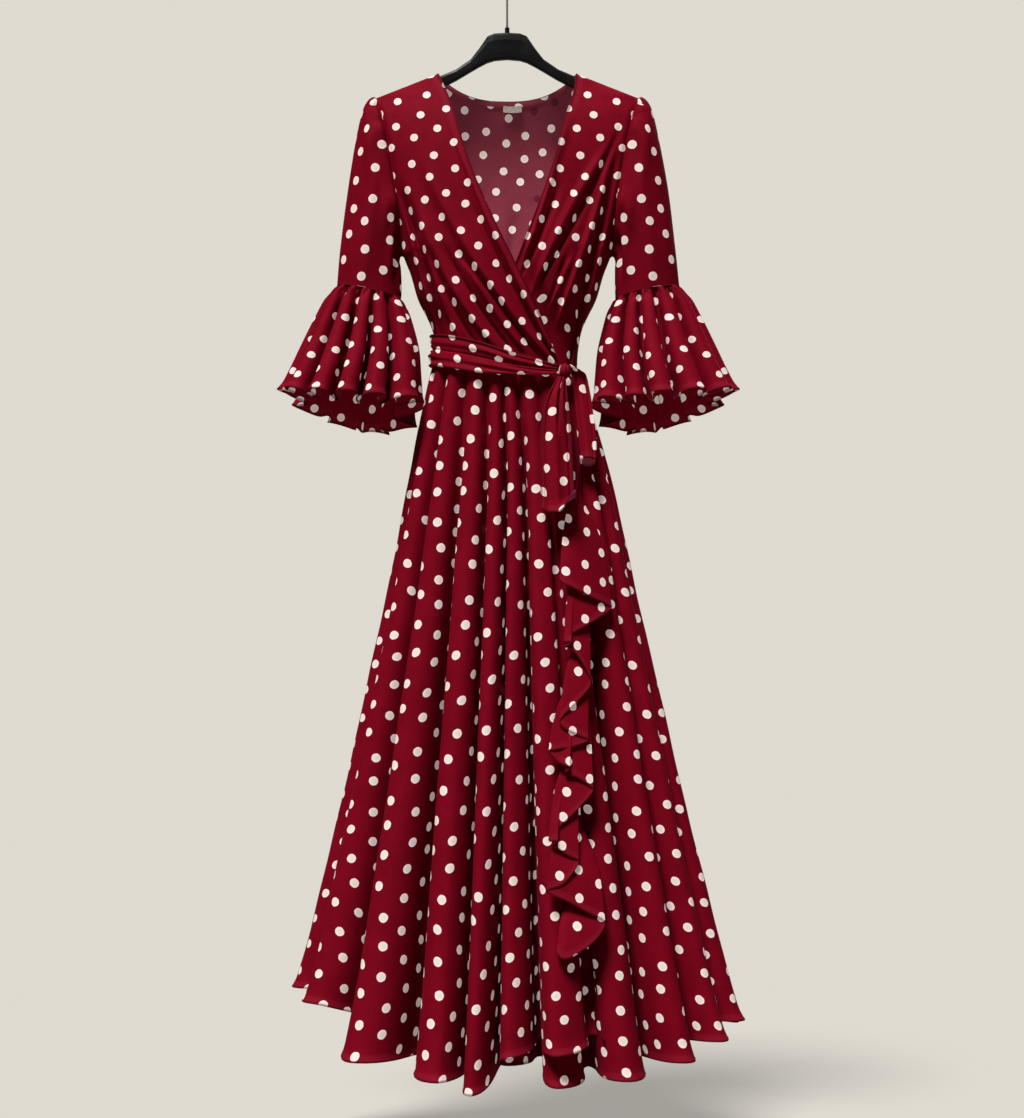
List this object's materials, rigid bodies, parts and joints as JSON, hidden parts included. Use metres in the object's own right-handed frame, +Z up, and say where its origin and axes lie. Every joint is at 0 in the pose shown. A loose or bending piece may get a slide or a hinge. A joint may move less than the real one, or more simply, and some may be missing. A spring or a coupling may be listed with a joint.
{
  "type": "flamenco dress on a hanger",
  "caption": "Long V-neck wrap dress in dotted crepe with belled flounces on the sleeves, a tied sash and a ruffle down the wrap edge, on a hook hanger.",
  "frame": {"origin": "inner top of the hanger's hook, where it bears on a rail", "axes": "+Z up, the dress hangs down -Z; the dress's front faces -Y; +X is to the right as seen from the front"},
  "size_m": [0.6647, 0.3658, 1.5701],
  "materials": {
    "dress_crepe": "deep crimson crepe with off-white dots, soft sheen",
    "label_cloth": "bare woven ribbon, matte",
    "hanger_plastic": "black, satin",
    "hook_steel": "plated steel wire"
  },
  "bodies": {
    "root": {"bodice_front_over": "dress_crepe", "bodice_front_under": "dress_crepe", "bodice_back": "dress_crepe", "neck_band": "dress_crepe", "sleeve_left": "dress_crepe", "sleeve_right": "dress_crepe", "sleeve_flounce_left": "dress_crepe", "sleeve_flounce_right": "dress_crepe", "skirt_front_over": "dress_crepe", "skirt_front_under": "dress_crepe", "skirt_back": "dress_crepe", "wrap_ruffle": "dress_crepe", "sash_band": "dress_crepe", "sash_knot": "dress_crepe", "sash_tail_long": "dress_crepe", "sash_tail_short": "dress_crepe", "neck_label": "label_cloth", "hanger_body": "hanger_plastic", "hanger_collar": "hanger_plastic", "hanger_hook": "hook_steel"}
  },
  "joints": []
}
